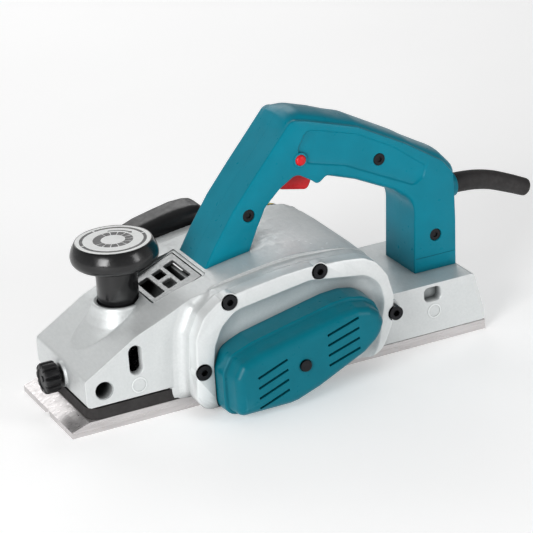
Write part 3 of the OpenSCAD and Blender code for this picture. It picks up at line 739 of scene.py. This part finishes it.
def knob_boss():
    profile = [(0.01, 20), (34, 20), (33, 41), (29.5, 44.5), (25, 49.3), (21.2, 54), (18.8, 58.4),
               (17.6, 61.8), (17.2, 64), (16.6, 65.1), (15.6, 65.5), (14.4, 65), (0.01, 65)]
    boss = lathe("boss", profile, (KNOB_X, 0, 0))
    return keep_inside(boss, box((-133, -HALF_WIDTH + 1, 30), (-50, HALF_WIDTH - 1, 70)))


def ejector_marks(casting):
    """Round marks left by the mould's ejector pins."""
    for side in (-1, 1):
        for at, radius in (((-98.5, 24.3), 5.2), ((108, 21.7), 4.9)):
            profile = [(0.01, 0), (radius, 0), (radius, 1.15), (radius - 0.4, 1.3), (0.01, 1.3)]
            rim = lathe("mark", profile, (at[0], side * (HALF_WIDTH - 1), at[1]), (0, side, 0))
            fuse(casting, cut(rim, bar(at, side * 39, side * 45, radius - 1)))


def darken_chip_room(casting):
    """Gives the walls of the chip room a darker material, out to half a millimetre beyond its box."""
    casting.data.materials.append(dark_chip_metal())
    low, high = CHIP_ROOM
    for face in casting.data.polygons:
        x, y, z = face.center / MM
        if low[0] - 0.5 < x < high[0] + 0.5 and abs(y) < FLOOR_Y - 0.5 and low[2] - 0.5 < z < high[2] + 0.5:
            face.material_index = 1


def main_frame():
    casting = casting_block()
    fuse(casting, pads(), knob_boss())
    fuse(casting, rod((-133, THUMB_Y, ROD[1]), (-135.4, THUMB_Y, ROD[1]), 8.6, 7.9))
    soften(casting, 0.5, 2)
    fuse(casting, *[bar(at, -PAD_Y, -HALF_WIDTH + 1, 6.6) for at in BRACKET_SCREWS[3:]])
    ejector_marks(casting)

    # Room for the front shoe when the knob lifts it
    cut(casting, box((-150, -HALF_WIDTH - 0.25, 5), (-22.2, HALF_WIDTH + 0.25, 9.25)))

    # Bores and hollows
    cut(casting, bar(DRUM, -PAD_Y - 1, 41.4, 28.5), bar(MOTOR, -36, 55, 32.7), bar(ROD, -43, 43, 5.6))
    cut(casting, bar(DRUM, 41, 49, 13), bar(MOTOR, -PAD_Y - 1, -35, 16.2), box(*CHIP_ROOM))
    for side in (-1, 1):
        rim = bar(ROD, side * (HALF_WIDTH - 0.6), side * (HALF_WIDTH + 1), 6.1)
        cut(casting, rim, *side_slots(side))
    cut(casting, rod((KNOB_X, 0, 58), (KNOB_X, 0, 70), 13.9), rod((KNOB_X, 0, 36), (KNOB_X, 0, 59), 10.1))
    cut(casting, rod((-140, THUMB_Y, ROD[1]), (-126, THUMB_Y, ROD[1]), 3.2))
    nose_hollow = [(-129, 10), (-129, 31), (-106, 44), (-97, 50), (-85, 50), (-62, 50), (-62, 10)]
    underside = plate("underside", nose_hollow, 2, [(-36, 0), (36, 0)])
    cut(underside, bar(ROD, -HALF_WIDTH, HALF_WIDTH, 9.5), rod((KNOB_X, 0, 40), (KNOB_X, 0, 70), 15))
    cut(casting, underside)
    grille = box((-17.4, -23.2, -9), (17.4, 23.2, 8), 1.2)
    ledge = box((-19.4, -25, -1.1), (19.4, 25, 8), 1.6)
    cut(casting, set_down(grille, GRILLE_SLOPE, GRILLE_PLACE))
    fuse(casting, box((-49, -24, 55), (-46.2, 24, 72)))  # wall under the grille's upper slot
    cut(casting, set_down(ledge, GRILLE_SLOPE, GRILLE_PLACE))
    cut(casting, *[bar(at, -PAD_Y - 1, -38, 2.5) for at in BRACKET_SCREWS])
    piece(casting, "body_casting", "root", "cast_aluminium", "main_frame")
    darken_chip_room(casting)


def side_slots(side):
    """An upright slot through the nose's side wall and a wide blind pocket in the tail's."""
    slots = []
    nose, tail = ((-99.3, 41), (8.5, 19), 4.2, 7), ((107.3, 33.5), (11.8, 9.3), 3, 6)
    face = side * HALF_WIDTH
    for centre, size, radius, depth in (nose, tail):
        layers = [(face - side * depth, 0.6), (face - side * 0.7, 0), (face - side * 0.2, -0.3),
                  (face + side, -1.4)]
        slots.append(plate("slot", rectangle(centre, size), radius, layers))
    return slots


main_frame()


# ---- Grille ----
def grille_plate():
    grille = plate("grille", rectangle((0, 0), (33.8, 45.4)), 1, [(-3.2, 0), (-1.5, 0), (-1.1, 0.4)], "z")
    slots = ((-10, 0), (7, 27)), ((0, -8), (6, 11)), ((0, 8), (6, 11)), ((9.5, 0), (7, 28))
    for centre, size in slots:
        cut(grille, plate("slot", rectangle(centre, size), 0.8, [(-4, 0), (-1.6, 0), (-1, -0.5)], "z"))
    set_down(grille, GRILLE_SLOPE, GRILLE_PLACE)
    piece(grille, "chip_grille", "root", "grille_metal", "grille_plate")


grille_plate()

# ---- Handle ----
GRIP = [
    (-41.6, 76), (-31.6, 92.4), (-18, 112), (-2.2, 130.6), (13.4, 148.2), (25.8, 162.4), (36, 160),
    (71, 148.7), (105, 130), (130.5, 113), (138, 103.4), (138.2, 88), (138.2, 72), (137, DECK_Z - 2.4),
    (106.2, DECK_Z - 2.4), (109, 89), (95, 100), (69, 113), (47, 120.7), (41, 117.2), (37, 120.6),
    (27, 127), (15, 120), (4, 110), (-2, 98.6), (-10.4, 80.5)]
GRIP_RADII = [1, 9, 9, 9, 9, 6, 8, 12, 14, 10, 7, 9, 9, 1, 1, 14, 12, 12, 4, 3, 4, 6, 9, 9, 9, 1]
CROWN_LIFT = [
    (20, 0), (25, 1.6), (33, 4.4), (50, 4.5), (62, 3.4), (90, 3.1), (112, 2.9), (124, 3.8), (137, 5)]
PANEL = [
    (35, 154), (28, 142), (35.5, 132), (61, 125), (109, 101), (116, 105), (119, 112), (96, 130),
    (71, 144), (45, 152)]


def along_table(table, value):
    """Straight-line lookup in a table of (place, number)."""
    for (a, low), (b, high) in zip(table, table[1:]):
        if value < b:
            return low + (high - low) * max(0, (value - a) / (b - a))
    return table[-1][1]


def grip_skin(name, layers):
    """The handle's skin.

    Each layer is (y, inset of the edge, share of the crown's lift, inset under the fingers).
    """
    outline = finely(rounded(GRIP, GRIP_RADII, 0, 7), 2.5)
    normals = outward(outline)
    for _ in range(2):
        normals = [(normals[i - 1] + n * 2 + normals[(i + 1) % len(normals)]).normalized()
                   for i, n in enumerate(normals)]
    rings = []
    for y, inset, lift, finger_inset in layers:
        ring = []
        for point, normal in zip(outline, normals):
            upper = between(normal.y + 0.6 * max(0, normal.x), 0.05, 0.4)
            crown = upper * along_table(CROWN_LIFT, point.x) * between(point.y, 86, 103)
            fingers = between(-normal.y, 0.2, 0.6) * between(point.x, 44, 52) * between(point.y, 84, 96)
            move = lift * crown - inset - (finger_inset - inset) * fingers
            ring.append(placed(*(point + normal * move), y, "y"))
        rings.append(ring)
    return skin(name, rings)


def handle():
    edge = [(20, 0.8, 0, 4.2), (19.75, 0.3, 0, 3.0), (19.2, 0, 0, 2.0), (18.2, 0, 0, 1.2),
            (16.8, 0, 0.02, 0.5), (16.1, 0, 0.12, 0.3), (15.4, 0, 0.3, 0.1), (14.6, 0, 0.48, 0),
            (13.4, 0, 0.62, 0), (11.5, 0, 0.76, 0), (8.5, 0, 0.88, 0), (5, 0, 0.96, 0)]
    body = grip_skin("handle", mirrored(edge, [(0, 0, 1, 0)]))
    collar = lathe("collar", [(9.2, 0), (8.6, 15), (8.2, 17.4), (7.4, 18)], (130, 0, GUARD_Z), (1, 0, 0))
    fuse(body, collar)
    depths = (-1.1, 0.9), (-0.9, 0.5), (-0.2, -0.1), (0, -0.4), (1, -1.4)
    for side in (-1, 1):
        cut(body, plate("panel", PANEL, 5, [(side * (SHELL_Y + depth), inset) for depth, inset in depths]))
    ring = [(0.01, -1), (3.6, -1), (4.9, -1), (4.9, 0.5), (4.7, 0.9), (4.2, 1.1), (3.6, 1.1), (0.01, 1.1)]
    fuse(body, lathe("ring", ring, (LOCK[0], -SHELL_Y + 0.5, LOCK[1]), (0, -1, 0)))
    cut(body, plate("cavity", GRIP, 5, [(-17, 3.4), (17, 3.4)]))
    window = plate("window", [(20.5, 112), (46, 106), (46, 128), (20.5, 133)], 1, [(-7, 0), (7, 0)])
    cut(body, window, rod((125, 0, GUARD_Z), (160, 0, GUARD_Z), 6.85), bar(LOCK, -26, -10, 3.7))
    recess = [(4.1, 0), (4.1, 2.5), (4.6, 4)]
    cut(body, *[lathe("recess", recess, (at[0], -17, at[1]), (0, -1, 0)) for at in HANDLE_SCREWS])
    cut(body, box((100, -25, 49.9), (150, -SHELL_Y + 0.3, 50.4)))
    for side, name in ((-1, "handle_left"), (1, "handle_right")):
        half = duplicate(body)
        low, high = sorted((side * 0.04, side * 30))
        keep_inside(half, box((-60, low, 30), (170, high, 180)))
        piece(half, name + "_shell", "root", "teal_plastic", name)
    bpy.data.objects.remove(body)


handle()


# ---- Depth knob and its dial ----
def depth_knob():
    radius = (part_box("depth_knob")[1].x / MM) - KNOB_X
    flange = smooth_profile([
        (13.5, 87.9), (17, 88.3), (21.5, 89.1), (25, 90.4), (radius - 0.6, 92.7), (radius, 95.4),
        (radius - 0.4, 98.3), (radius - 1.6, 101.4), (radius - 3.1, 103.9), (radius - 4.1, 104.6)])
    stem = [(0.01, 40), (9.9, 40), (9.9, 58.2), (12.6, 58.2), (13, 58.7), (13, 87.4), (12.7, 87.6),
            (12.7, 87.9)]
    seat = [(24, 104.7), (23.8, 104.1), (0.01, 104.1)]
    knob = lathe("knob", stem + flange + seat, (KNOB_X, 0, 0), segments=144)
    cut(knob, rod((KNOB_X, 0, 39), (KNOB_X, 0, 93), 5.1))
    glossy = black_plastic("glossy_black", 20, 0.2, 0.012, 0.5)
    piece(knob, "knob_body", "knob", "black_plastic", "depth_knob", material=glossy, angle=40)


def dial_mark(outline):
    """A thin printed shape that stands 0.04 mm proud of the dial; outline is round the knob's axis."""
    rings = [[Vector((KNOB_X + x, y, z)) for x, y in outline] for z in (DIAL_Z - 0.1, DIAL_Z + 0.04)]
    return skin("mark", rings)


def band(inner, outer, start, end):
    """A flat mark between two radii and two angles in degrees, round the knob's axis."""
    steps = max(3, int((end - start) / 4))
    angles = [math.radians(start + (end - start) * k / steps) for k in range(steps + 1)]
    outline = [(outer * math.cos(a), outer * math.sin(a)) for a in angles]
    outline += [(inner * math.cos(a), inner * math.sin(a)) for a in reversed(angles)]
    return dial_mark(outline)


def dial():
    profile = [(0.01, 104), (23.6, 104), (23.6, 104.5), (23.4, DIAL_Z), (0.01, DIAL_Z)]
    disc = lathe("disc", profile, (KNOB_X, 0, 0))
    piece(disc, "dial_disc", "knob", "white_dial", "dial_plate")
    marks = [band(18.9, 20.9, *span) for span in ((1, 103), (106, 177), (180, 358))]
    steps = [(123, 190)] + [(190 + 24.5 * k + 3, 190 + 24.5 * (k + 1)) for k in range(12)]
    marks += [band(7.6, 12.5, *span) for span in steps]
    marks.append(band(14.4, 15.6, 24, 80))
    arrow = [(r, math.radians(degrees)) for r, degrees in ((13.6, 24), (16.6, 24), (14.8, 14))]
    marks.append(dial_mark([(r * math.cos(a), r * math.sin(a)) for r, a in arrow]))
    whole = marks[0]
    fuse(whole, *marks[1:])
    piece(whole, "dial_marks", "knob", "black_plastic")


depth_knob()
dial()


# ---- Small controls ----
def thumb_screw():
    def star(grow):
        """Ten lobes, as (radius, angle)."""
        angles = [2 * math.pi * k / 240 for k in range(240)]
        return [(grow + 10 - 1.9 * (0.5 - 0.5 * math.cos(10 * a)) ** 5, a) for a in angles]

    rings = []
    layers = (-148, -2.2), (-147.7, -0.9), (-147, -0.2), (-146, 0), (-139.4, 0), (-138.4, -0.5), (-138, -1.6)
    for x, grow in layers:
        rings.append([(x, THUMB_Y + r * math.cos(a), ROD[1] + r * math.sin(a)) for r, a in star(grow)])
    grip = skin("thumb", rings)

    def along(x0, x1, radius):
        return rod((x0, THUMB_Y, ROD[1]), (x1, THUMB_Y, ROD[1]), radius)

    dish = [(0.01, 0), (6.6, 0), (6.3, 0.7), (0.01, 0.7)]
    cut(grip, lathe("dish", dish, (-148.01, THUMB_Y, ROD[1]), (1, 0, 0)))
    fuse(grip, along(-139, -135.8, 5), along(-137, -127.5, 3), along(-147.9, -140, 2))
    piece(grip, "clamp_thumb_screw", "clamp_screw", "black_plastic", "thumb_screw")


def trigger():
    outline = [
        (21, 119), (21, 113.4), (31, 111.2), (40.6, 109.2), (43.4, 114.5), (43.6, 121), (42, 127),
        (30, 127), (27, 130.5), (21, 130.5)]
    radii = [3, 2.5, 8, 3.5, 5, 5, 1, 1, 1, 1]
    lever = plate("trigger", outline, radii, mirrored([(6, 1.6), (5.7, 0.8), (5, 0.25), (4, 0)]))
    cut(lever, bar(PIVOT, -7, 7, 1.55))
    piece(lever, "trigger_lever", "trigger", "red_plastic", "trigger")


def lock_button():
    profile = [(0.01, 0), (5.4, 0), (5.4, 1.4), (3.5, 1.5), (3.5, 3), (3.5, 8.3), (3.3, 9), (2.7, 9.6),
               (1.5, 10), (0.01, 10.1)]
    start = -SHELL_Y - 2.4 + 10.2
    button = lathe("lock", profile, (LOCK[0], start, LOCK[1]), (0, -1, 0), 64)
    piece(button, "lock_push_button", "lock", "red_plastic", "lock_button")


def swept(name, path, radii, sides=40):
    """A round bar through path, a curve in the XZ plane, with a radius at each point."""
    rings = []
    for i, point in enumerate(path):
        ahead = (Vector(path[min(i + 1, len(path) - 1)]) - Vector(path[max(i - 1, 0)])).normalized()
        upward = Vector((-ahead.y, ahead.x))
        ring = []
        for k in range(sides):
            a = 2 * math.pi * k / sides
            flat = Vector(point) + upward * radii[i] * math.sin(a)
            ring.append(Vector((flat.x, radii[i] * math.cos(a), flat.y)))
        rings.append(ring)
    return skin(name, rings)


def cord_guard():
    route = [(131, GUARD_Z), (142, GUARD_Z), (152, GUARD_Z), (164, 86.6), (176, 83.8), (188, 79.1),
             (196, 75.6), (203.2, 72.3)]
    path = smooth_profile(route, 6)
    last = len(path) - 1
    radii = [6.8 - 0.9 * (k / last) ** 1.5 for k in range(last - 1)]
    guard = swept("guard", path, radii + [5.7, 4.9])
    tip = Vector((0.9135, 0, -0.4067))
    end = Vector((203, 0, 72.2))
    cut(guard, rod(end - tip * 16, end + tip * 3, 3.6), rod((130, 0, GUARD_Z), (158, 0, GUARD_Z), 3.6))
    piece(guard, "cord_guard_boot", "root", "black_rubber", "cord_guard")


thumb_screw()
trigger()
lock_button()
cord_guard()


# ---- Chip spout ----
# Sections of the spout from its mouth to its closed end: place along X, bottom, top, near side, far side
SPOUT = [
    (-72, 43, 70, 59, 82), (-66, 46, 74, 58.6, 82.8), (-57, 50, 79.2, 58.2, 83.6), (-46, 54, 83, 58, 84),
    (-32, 54, 86.2, 58, 84), (-20, 54, 88.6, 57, 84), (-11, 55, 89, 57, 84), (-6, 56, 88.2, 57.4, 83.6),
    (-3, 58, 86, 59, 82.6), (-1.4, 61, 83, 61.5, 80)]


def chip_spout():
    def horn(grow, beyond):
        """The spout's outer shape, or its inside with a grow below 0 that goes beyond the mouth."""
        rings = []
        for x, bottom, top, near, far in SPOUT:
            low, high = (near - grow, bottom - grow), (far + grow, top + grow)
            outline = [low, (high[0], low[1]), high, (low[0], high[1])]
            place = x - (beyond if x == SPOUT[0][0] else 0) + (grow if x == SPOUT[-1][0] else 0)
            rings.append([placed(p[0], p[1], place, "x") for p in rounded(outline, 7 + grow)])
        return skin("horn", rings)

    neck = box((-49, 54, 44), (-9, 60, 73), 2)
    spout = horn(0, 0)
    fuse(spout, neck, box((-54, 54.1, 36), (-8, 57, 76), 0.8))
    soften(spout, 0.8, 3)
    cut(spout, horn(-2.5, 2))
    cut(spout, box((-46, 53, 46.5), (-12, 62, 70.5)))
    piece(spout, "chip_horn", "root", "black_plastic", "chip_spout")


chip_spout()

# ---- CAD nodes that stay ----
BEVELS = {
    "bracket_screws": 0.4, "rear_base": 0.5, "front_base": 0.5, "belt_cover_screw": 0.4, "handle_screws": 0.3}
for part in frame["record"]["subparts"]:
    node = NODES[part["node"]]
    paint(node, FINISHES[part["material_slot"]])
    if part["node"] in BEVELS:
        bevel = node.modifiers.new("bevel", "BEVEL")
        bevel.width = BEVELS[part["node"]] * MM
        bevel.segments = 3
        bevel.limit_method = "ANGLE"
        bevel.angle_limit = math.radians(35)
        bevel.harden_normals = True
